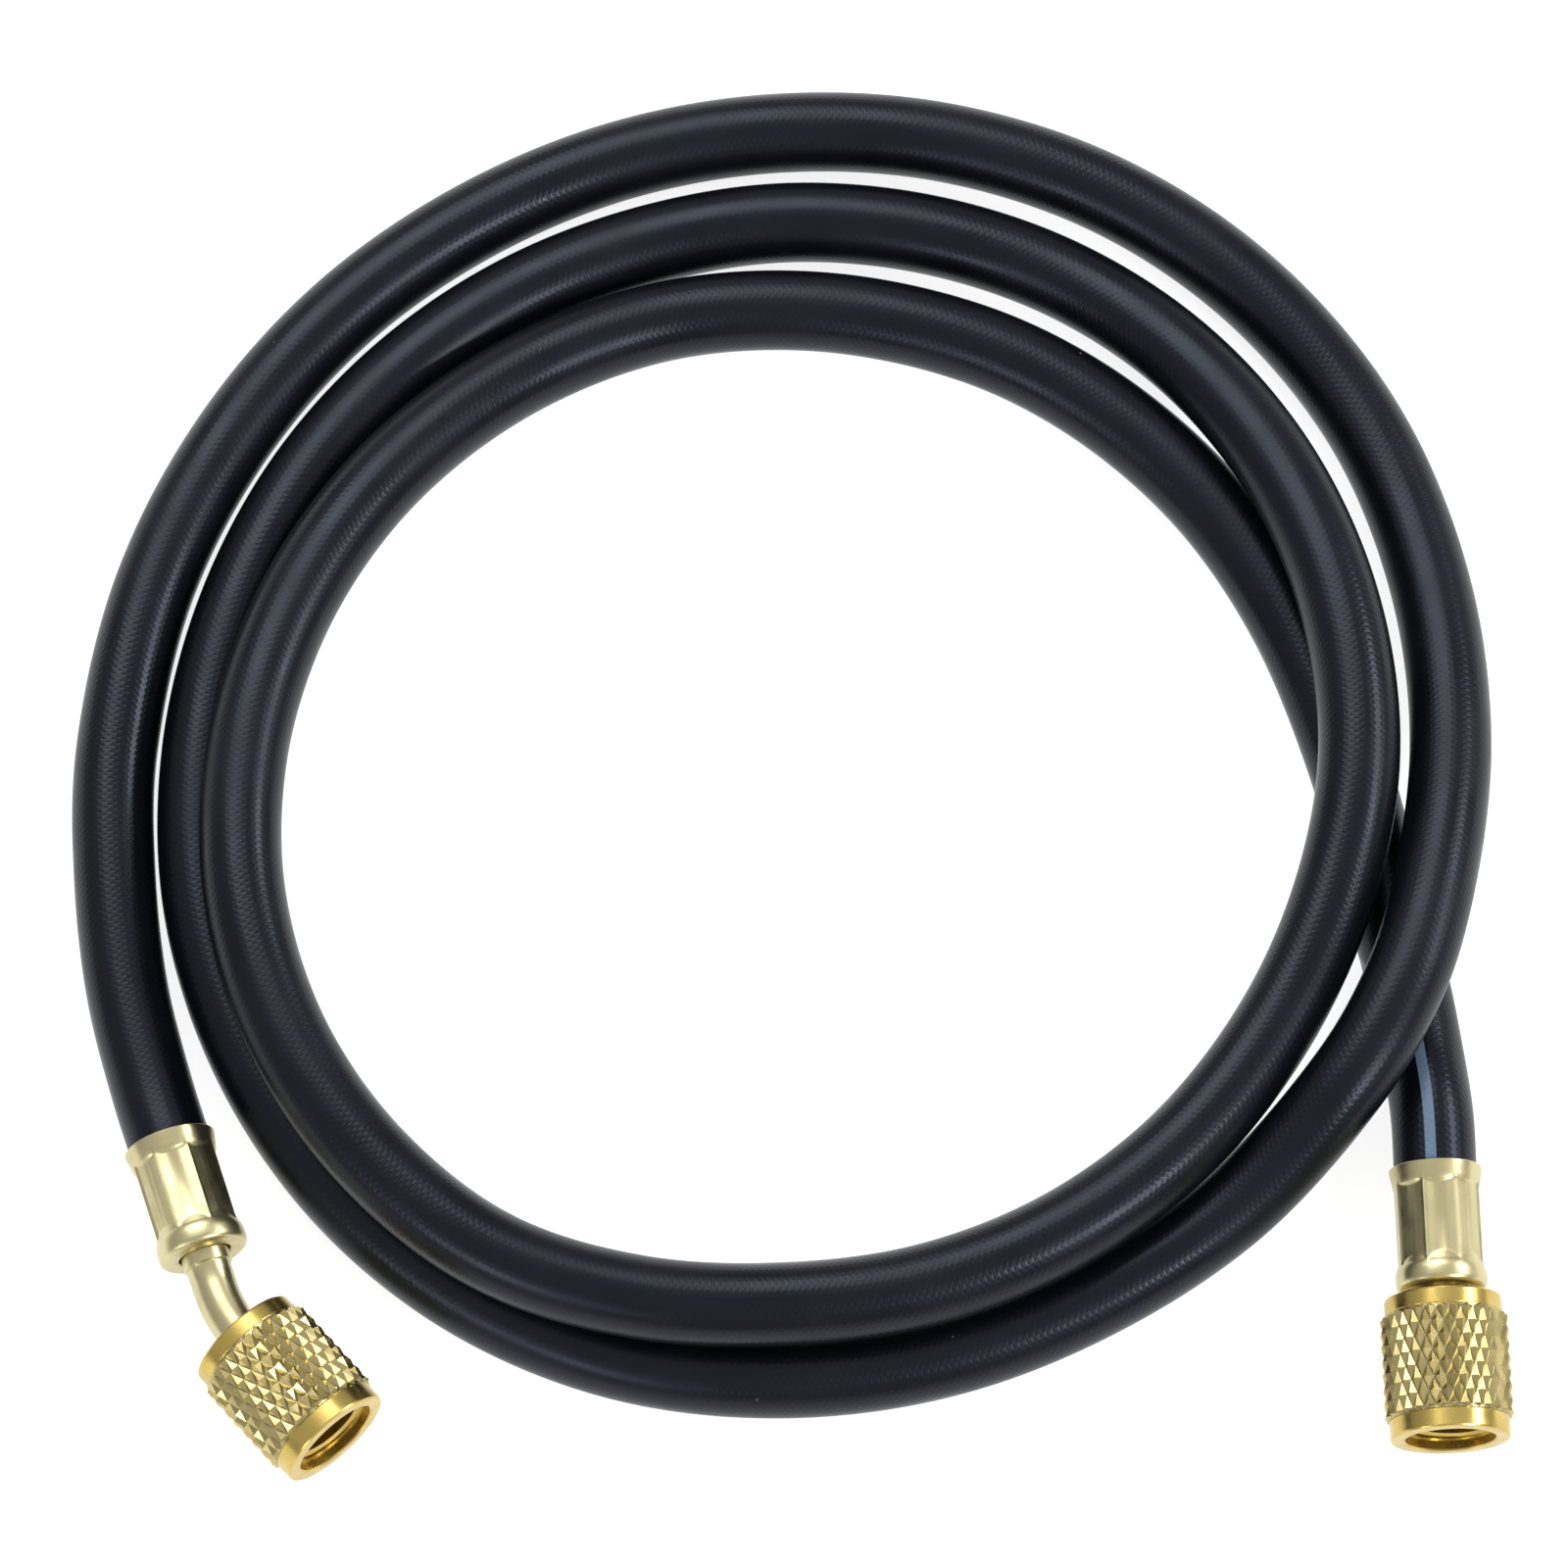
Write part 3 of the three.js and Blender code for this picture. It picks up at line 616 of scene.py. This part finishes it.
def ferrule():
    """Lip, eight crimped flats with ribs between them, bulge, end wall and cavity."""
    inner = HOSE_OD / 2 + GAP
    crimped_inner = HOSE_CRIMPED_OD / 2 + GAP
    lip, crimp, bulge, hole = LIP_OD / 2, CRIMP_OD / 2, BULGE_OD / 2, FERRULE_HOLE / 2
    # Rings where the jaws' flared ends cross the flats: their height, and the flare's radius there
    lip_flare = []
    for k in range(LIP_FLARE_STEPS, -1, -1):
        share = k / LIP_FLARE_STEPS
        height = LIP_LENGTH + LIP_FLARE_END - FLARE_LENGTH * share * LIP_FLARE_SHARE
        lip_flare.append((height, CRIMP_FLAT + (FLAT_CORNER - CRIMP_FLAT) * share))
    bulge_flare = []
    for k in range(BULGE_FLARE_STEPS + 1):
        share = k / BULGE_FLARE_STEPS
        height = CRIMP_END - BULGE_FLARE_START + FLARE_LENGTH * share
        bulge_flare.append((height, CRIMP_FLAT + (FLAT_CORNER - CRIMP_FLAT) * share))
    flares = lip_flare + bulge_flare
    flare_start, flare_end = flares[0][0], flares[-1][0]
    tool = start_ring("ferrule", inner, LIP_INNER_EDGE, FERRULE_SIDES)
    draw_out(tool, [
        (inner + LIP_INNER_EDGE, 0),
        *((lip - inward, height) for inward, height in LIP_CURVE),
        *((crimp, height) for height, _ in flares),
        (FLAT_CORNER + BULGE_FOOT_OUT, flare_end + BULGE_FOOT_ON),
        *((bulge - inward, flare_end + on) for inward, on in BULGE_RISE),
        *((bulge - inward, FERRULE_LENGTH - before) for inward, before in BULGE_ROUND),
        (hole + HOLE_EDGE, FERRULE_LENGTH), (hole, FERRULE_LENGTH - HOLE_EDGE), (hole, CAVITY_END),
        (crimped_inner, CAVITY_END), (crimped_inner, CRIMP_START + HOSE_TAPER),
        (inner, CRIMP_START), (inner, LIP_INNER_EDGE),
    ])

    def outside(p):
        return p.x > 0 and math.hypot(p.x, p.y) > crimp - NEAR

    def round_by(p):
        return abs(math.atan2(p.y, p.x))

    # Each jaw presses one flat. Where the jaw flares, the metal follows its cone in the flat's middle
    side = math.pi / FLAT_COUNT
    for _ in range(FLAT_COUNT):
        for height, flare in flares:
            on_cone = math.acos(CRIMP_FLAT / flare)
            pick(lambda p: (
                abs(p.z - height) < NEAR and outside(p) and on_cone < round_by(p) < side - RIB_REACH
            ))
            bpy.ops.transform.resize(value=(CRIMP_CURVE, 1, 1), center_override=(CRIMP_FLAT * MM, 0, 0))
            pick(lambda p: (
                abs(p.z - height) < NEAR and outside(p)
                and round_by(p) <= min(on_cone, side - RIB_REACH)
                and abs(math.hypot(p.x, p.y) - crimp) < NEAR
            ))
            pressed = flare / crimp
            bpy.ops.transform.resize(value=(pressed, pressed, 1), center_override=(0, 0, 0))
        # Metal squeezed up between two jaws stands as a narrow rib
        pick(lambda p: (
            flare_start - NEAR < p.z < flare_end + NEAR and outside(p)
            and abs(math.atan2(p.y, p.x) - side) < RIB_REACH
        ))
        raised = RIB_OD / CRIMP_OD
        bpy.ops.transform.resize(value=(raised, raised, 1), center_override=(0, 0, 0))
        bpy.ops.mesh.select_all(action="SELECT")
        bpy.ops.transform.rotate(value=2 * side, orient_axis="Z", center_override=(0, 0, 0))
    return close_up()


def stem(bent):
    """Barb, collar, neck, flange and the passage back through them, in one closed wall."""
    barb, neck, passage = BARB_OD / 2, NECK_OD / 2, PASSAGE / 2
    start = LIP_LENGTH / 2
    collar_end = FERRULE_LENGTH + COLLAR_OUT
    tool = start_ring("stem", passage + HOLE_EDGE, start, STEM_SIDES)
    profile = [(barb - BARB_DEPTH, start)]
    for i in range(1, BARB_COUNT + 1):
        profile += [(barb, start + i * BARB_PITCH - BARB_DEPTH), (barb - BARB_DEPTH, start + i * BARB_PITCH)]
    collar = COLLAR_OD / 2
    draw_out(tool, [
        *profile,
        (barb - BARB_DEPTH, HOSE_END + GAP), (collar, HOSE_END + GAP),
        (collar, collar_end - EDGE_ROUND), (collar - EDGE_CORNER, collar_end - EDGE_CORNER),
        (collar - EDGE_ROUND, collar_end),
        *((neck + outward, collar_end + along) for outward, along in NECK_ROOT),
    ])
    if bent:
        bend_start = BEND_CORNER - BEND_TANGENT
        draw_out(tool, [(neck, bend_start)])
        bend_round(tool, BEND_ANGLE)
        nut_back = tool["height"] - BEND_TANGENT + BENT_NUT_BACK
    else:
        nut_back = FERRULE_LENGTH + STRAIGHT_NUT_BACK
    flange, counterbore = FLANGE_OD / 2, COUNTERBORE_OD / 2
    front = nut_back + FLANGE_END
    draw_out(tool, [
        (neck, nut_back + FLANGE_START), (flange - FLANGE_BACK_EDGE, nut_back + FLANGE_START),
        (flange, nut_back + FLANGE_START + FLANGE_BACK_EDGE),
        (flange, front - HOLE_EDGE), (flange - HOLE_EDGE, front),
        (counterbore + COUNTERBORE_EDGE, front), (counterbore, front - COUNTERBORE_EDGE),
        (counterbore, front - COUNTERBORE_DEPTH), (passage, front - COUNTERBORE_DEPTH),
    ])
    if bent:
        draw_out(tool, [(passage, bend_start + BEND_RADIUS * BEND_ANGLE)])
        bend_round(tool, -BEND_ANGLE)
    draw_out(tool, [(passage, start + HOLE_EDGE), (passage + HOLE_EDGE, start)])
    return close_up()


def thread():
    """The nut's inside thread as one winding ridge, rooted in the socket's wall."""
    deselect()
    root, crest = THREAD_MAJOR / 2 + THREAD_ROOTED, THREAD_MINOR / 2
    width = THREAD_PITCH * THREAD_ROOT_WIDTH
    bpy.ops.mesh.primitive_plane_add(size=MM, location=(0, 0, 0))
    ridge = bpy.context.object
    bpy.ops.object.mode_set(mode="EDIT")
    bpy.ops.mesh.select_all(action="SELECT")
    bpy.ops.transform.rotate(value=math.pi / 2, orient_axis="X", center_override=(0, 0, 0))
    bpy.ops.transform.resize(value=(root - crest, 1, width), center_override=(0, 0, 0))
    bpy.ops.transform.translate(value=((root + crest) / 2 * MM, 0, THREAD_START * MM))
    pick(lambda p: p.x < (root + crest) / 2)
    bpy.ops.transform.resize(
        value=(1, 1, THREAD_CREST_WIDTH), center_override=(0, 0, THREAD_START * MM)
    )
    bpy.ops.mesh.select_all(action="SELECT")
    bpy.ops.mesh.delete(type="ONLY_FACE")
    bpy.ops.object.mode_set(mode="OBJECT")
    winding = ridge.modifiers.new("winding", "SCREW")
    winding.axis = "Z"
    winding.angle = 2 * math.pi
    winding.screw_offset = THREAD_PITCH * MM
    winding.iterations = THREAD_TURNS
    winding.steps = winding.render_steps = THREAD_STEPS
    bpy.ops.object.modifier_apply(modifier="winding")
    bpy.ops.object.mode_set(mode="EDIT")
    bpy.ops.mesh.select_all(action="SELECT")
    bpy.ops.mesh.fill_holes(sides=4)
    return close_up()


def nut():
    """Collars, diamond knurl, mouth, threaded socket and back wall, in the nut's own measure."""
    back, front = BACK_COLLAR_OD / 2, FRONT_COLLAR_OD / 2
    valley = KNURL_OD / 2 - KNURL_DEPTH
    hole, mouth, socket = NUT_HOLE / 2, MOUTH_OD / 2, THREAD_MAJOR / 2
    knurl_end = BACK_COLLAR_LENGTH + KNURL_LENGTH
    row_from = BACK_COLLAR_LENGTH + KNURL_EDGE
    row_step = (KNURL_LENGTH - 2 * KNURL_EDGE) / KNURL_ROWS
    rows = [row_from + row_step * j for j in range(KNURL_ROWS + 1)]
    tool = start_ring("nut", hole, EDGE_ROUND, 2 * KNURL_STARTS)
    draw_out(tool, [
        (hole + EDGE_ROUND, 0), (back - EDGE_ROUND, 0), (back - EDGE_CORNER, EDGE_CORNER),
        (back, EDGE_ROUND), (back, BACK_COLLAR_LENGTH - SHOULDER_ALONG),
        (back - SHOULDER_IN, BACK_COLLAR_LENGTH), (valley - KNURL_RUNOUT, BACK_COLLAR_LENGTH),
        (valley, BACK_COLLAR_LENGTH + KNURL_LEAD),
        *((valley, height) for height in rows),
        (valley, knurl_end - KNURL_LEAD), (valley - KNURL_RUNOUT, knurl_end),
        (front - SHOULDER_IN, knurl_end + SHOULDER_STEP), (front, knurl_end + SHOULDER_ALONG),
        (front, NUT_LENGTH - EDGE_ROUND), (front - EDGE_CORNER, NUT_LENGTH - EDGE_CORNER),
        (front - EDGE_ROUND, NUT_LENGTH), (mouth + HOLE_EDGE, NUT_LENGTH),
        (mouth, NUT_LENGTH - HOLE_EDGE), (mouth, NUT_LENGTH - MOUTH_DEPTH),
        (socket, NUT_LENGTH - MOUTH_DEPTH - MOUTH_STEP), (socket, BACK_WALL),
        (hole, BACK_WALL), (hole, EDGE_ROUND),
    ])
    # Every other corner of the grid stands out as the crest of a tooth, staggered from row to row
    half_tooth = math.pi / KNURL_STARTS
    raised = KNURL_OD / 2 / valley
    for j, height in enumerate(rows):
        pick(lambda p: (
            abs(p.z - height) < NEAR and math.hypot(p.x, p.y) > valley - NEAR
            and (round(math.atan2(p.y, p.x) / half_tooth) + j) % 2 == 0
        ))
        bpy.ops.transform.resize(value=(raised, raised, 1), center_override=(0, 0, 0))
    edge = KNURL_EDGE + KNURL_RUNOUT
    pick(lambda p: (
        rows[0] - edge < p.z < rows[-1] + edge and math.hypot(p.x, p.y) > valley - NEAR
    ))
    bpy.ops.mesh.quads_convert_to_tris(quad_method="SHORTEST_DIAGONAL", ngon_method="BEAUTY")
    # The rolls leave each crest slightly flat
    pick(lambda p: math.hypot(p.x, p.y) > KNURL_OD / 2 - CREST_REACH)
    bpy.ops.mesh.bevel(affect="VERTICES", offset=KNURL_CREST * MM, segments=1)
    body = close_up()
    ridge = thread()
    deselect()
    ridge.select_set(True)
    body.select_set(True)
    bpy.context.view_layer.objects.active = body
    bpy.ops.object.join()
    return body


def gasket():
    """Rubber ring with rounded edges, against the stem's flange."""
    outside, hole = GASKET_OD / 2, GASKET_HOLE / 2
    back, back_corner = GASKET_HOLE_BACK
    front, front_corner = GASKET_FRONT
    lip, lip_corner = GASKET_HOLE_FRONT
    tool = start_ring("gasket", hole, GASKET_START + back, GASKET_SIDES)
    draw_out(tool, [
        (hole + back_corner, GASKET_START + back_corner), (hole + back, GASKET_START),
        (outside - EDGE_ROUND, GASKET_START), (outside - EDGE_CORNER, GASKET_START + EDGE_CORNER),
        (outside, GASKET_START + EDGE_ROUND), (outside, GASKET_END - front),
        (outside - front_corner, GASKET_END - front_corner), (outside - front, GASKET_END),
        (hole + lip, GASKET_END), (hole + lip_corner, GASKET_END - lip_corner),
        (hole, GASKET_END - lip), (hole, GASKET_START + back),
    ])
    return close_up()


def core_depressor():
    """A stamped strip: leg in the passage, shoulders in the counterbore, nose out through the gasket."""
    deselect()
    shoulder_back = FLANGE_END - COUNTERBORE_DEPTH + GAP
    shoulder_front = shoulder_back + SHOULDER_LENGTH
    nose_end = GASKET_END + NOSE_OUT
    bpy.ops.mesh.primitive_plane_add(size=MM, location=(0, 0, 0))
    bpy.context.object.name = "core_depressor"
    bpy.ops.object.mode_set(mode="EDIT")
    bpy.ops.mesh.select_all(action="SELECT")
    bpy.ops.transform.resize(value=(LEG_WIDTH, DEPRESSOR_THICKNESS, 1), center_override=(0, 0, 0))
    width, height = LEG_WIDTH, shoulder_back - LEG_LENGTH
    bpy.ops.transform.translate(value=(0, 0, height * MM))
    for next_width, next_height in (
        (LEG_WIDTH, shoulder_back),
        (SHOULDER_WIDTH, shoulder_back + WIDTH_STEP),
        (SHOULDER_WIDTH, shoulder_front),
        (NOSE_WIDTH, shoulder_front + WIDTH_STEP),
        (NOSE_WIDTH, nose_end),
        (NOSE_TIP_WIDTH, nose_end + NOSE_TIP),
    ):
        on = (0, 0, (next_height - height) * MM)
        bpy.ops.mesh.extrude_region_move(TRANSFORM_OT_translate={"value": on})
        bpy.ops.transform.resize(
            value=(next_width / width, 1, 1), center_override=(0, 0, next_height * MM)
        )
        width, height = next_width, next_height
    bpy.ops.mesh.select_all(action="SELECT")
    bpy.ops.mesh.bevel(affect="EDGES", offset=DEPRESSOR_EDGE * MM, segments=2, clamp_overlap=True)
    return close_up()


# Placing


def nut_place(corner, bend, back):
    """From the nut's own measure to the fitting's, past the bend where there is one."""
    to_corner = Matrix.Translation((0, 0, corner * MM))
    to_back = Matrix.Translation((0, 0, back * MM))
    return to_corner @ Matrix.Rotation(bend, 4, "Y") @ to_back


def put(piece, name, place, material, body, node, smooth_below):
    """Keeps each corner's own place for the material, moves the piece, hangs it from its body and hides the
    part that it stands for.
    """
    deselect()
    piece.name = piece.data.name = name
    own = piece.data.attributes.new("own", "FLOAT_VECTOR", "POINT")
    corners = np.zeros(len(piece.data.vertices) * 3, np.float32)
    piece.data.vertices.foreach_get("co", corners)
    own.data.foreach_set("vector", corners)
    piece.data.materials.clear()
    piece.data.materials.append(material)
    piece.select_set(True)
    bpy.context.view_layer.objects.active = piece
    piece.matrix_world = place
    bpy.ops.object.transform_apply(location=True, rotation=True, scale=True)
    bpy.ops.object.shade_smooth_by_angle(angle=math.radians(smooth_below), keep_sharp_edges=False)
    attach(piece, body)
    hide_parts(node)
    return piece


def copy_of(piece):
    """The same piece again, with a mesh of its own."""
    made = piece.copy()
    made.data = piece.data.copy()
    bpy.context.scene.collection.objects.link(made)
    return made


rubber = extruded_rubber()
pale_brass = turned_brass("bright_dipped_brass", "CBC196", "BFB58A", 0.31)
yellow_brass = turned_brass("knurled_free_cutting_brass", "CCB366", "C0A65A", 0.25, crest=KNURL_OD / 2)
nitrile = moulded_rubber()

hose = tube_of(centres, stations)
hose.data.materials.append(rubber)
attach(hose, "hose_and_stems")
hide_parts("hose")

bent_nut_place = BENT_PLACE @ nut_place(BEND_CORNER, BEND_ANGLE, BENT_NUT_BACK)
straight_nut_place = STRAIGHT_PLACE @ nut_place(FERRULE_LENGTH, 0, STRAIGHT_NUT_BACK)

one_ferrule, one_nut, one_gasket = ferrule(), nut(), gasket()
bent_pieces = {
    "ferrule": (copy_of(one_ferrule), BENT_PLACE, pale_brass, "hose_and_stems", "ferrule_brass"),
    "stem": (stem(True), BENT_PLACE, pale_brass, "hose_and_stems", "ferrule_brass"),
    "nut": (copy_of(one_nut), bent_nut_place, yellow_brass, "bent_end_nut", "nut_brass"),
    "gasket": (copy_of(one_gasket), bent_nut_place, nitrile, "hose_and_stems", "gasket_rubber"),
    "core_depressor": (core_depressor(), bent_nut_place, yellow_brass, "hose_and_stems", "nut_brass"),
}
straight_pieces = {
    "ferrule": (one_ferrule, STRAIGHT_PLACE, pale_brass, "hose_and_stems", "ferrule_brass"),
    "stem": (stem(False), STRAIGHT_PLACE, pale_brass, "hose_and_stems", "ferrule_brass"),
    "nut": (one_nut, straight_nut_place, yellow_brass, "straight_end_nut", "nut_brass"),
    "gasket": (one_gasket, straight_nut_place, nitrile, "hose_and_stems", "gasket_rubber"),
}
for end, pieces in (("bent_end_", bent_pieces), ("straight_end_", straight_pieces)):
    for kind, (piece, place, material, body, slot) in pieces.items():
        put(
            piece, end + kind + "_dressed", place, material, body, end + kind,
            smooth_below=KNURL_SMOOTH if kind == "nut" else PIECE_SMOOTH,
        )


# Floor and light

FLOOR_SIZE = 12
PAPER_GRAINS = 900.0  # to a metre, about 1 mm
PAPER_GLOW = 0.85
PAPER_ROUGHNESS = 0.9
LAMPS_AWAY = 1.6
HORIZON_GLOW = 0.35
HORIZON_UP_TO = 0.05  # sine of the angle above the floor
OVERHEAD_GLOW = 0.66
OVERHEAD_FROM = 0.95

deselect()
bpy.ops.mesh.primitive_plane_add(size=FLOOR_SIZE, location=(0, 0, 0))
floor = bpy.context.object
floor.name = "floor"
floor_material, floor_tree, floor_shader = new_material("matt_white_paper")
# Matt white paper lit from below, as on a light table, so that it comes out nearly white
on_floor = add(floor_tree, "TexCoord").outputs["Object"]
paper = add(floor_tree, "TexNoise", {"Vector": on_floor, "Scale": PAPER_GRAINS}).outputs[0]
tones = {"Factor": paper, "A": linear("9C9C9C"), "B": linear("A4A4A4")}
tone = add(floor_tree, "Mix", tones, data_type="RGBA")
floor_tree.links.new(tone.outputs["Result"], floor_shader.inputs["Base Color"])
floor_shader.inputs["Roughness"].default_value = PAPER_ROUGHNESS
floor_shader.inputs["Emission Color"].default_value = linear("FFFFFF")
floor_shader.inputs["Emission Strength"].default_value = PAPER_GLOW
floor.data.materials.append(floor_material)

# Upwards in the picture
camera_up = Vector((0, math.sin(CAMERA_ELEVATION), math.cos(CAMERA_ELEVATION)))


def softbox(name, right, up, angle, size, power):
    """A soft lamp that shines on the middle of the floor, from an angle in degrees off the camera
    towards (right, up) in the picture. Its size is its level width and its height."""
    sideways = (Vector((1, 0, 0)) * right + camera_up * up).normalized()
    direction = camera_side * math.cos(math.radians(angle)) + sideways * math.sin(math.radians(angle))
    lamp = bpy.data.lights.new(name, "AREA")
    lamp.shape = "RECTANGLE"
    lamp.size, lamp.size_y = size
    lamp.energy = power
    made = bpy.data.objects.new(name, lamp)
    bpy.context.scene.collection.objects.link(made)
    made.location = direction * LAMPS_AWAY
    made.rotation_euler = direction.to_track_quat("Z", "Y").to_euler()


# One wide softbox behind, and three narrow strips that draw lines along the hose
softbox("back_softbox", right=-0.29, up=0.96, angle=55.7, size=(1.2, 0.9), power=15)
softbox("right_strip", right=0.88, up=0.47, angle=61, size=(0.9, 0.2), power=11)
softbox("right_front_strip", right=0.9, up=-0.44, angle=40, size=(0.5, 0.1), power=9)
softbox("front_left_strip", right=-0.66, up=-0.75, angle=48, size=(0.9, 0.2), power=5)

world = bpy.data.worlds.new("studio")
bpy.context.scene.world = world
world.use_nodes = True
# The studio is darker near the floor than overhead
studio = world.node_tree
direction = add(studio, "TexCoord").outputs["Generated"]
upward = add(studio, "SeparateXYZ", {0: direction}).outputs["Z"]
brighter = {0: upward, 1: HORIZON_UP_TO, 2: OVERHEAD_FROM, 3: HORIZON_GLOW, 4: OVERHEAD_GLOW}
glow = add(studio, "MapRange", brighter).outputs[0]
studio.links.new(glow, studio.nodes["Background"].inputs["Strength"])
studio.nodes["Background"].inputs["Color"].default_value = linear("FFFFFF")
bpy.context.scene.view_settings.view_transform = "Standard"
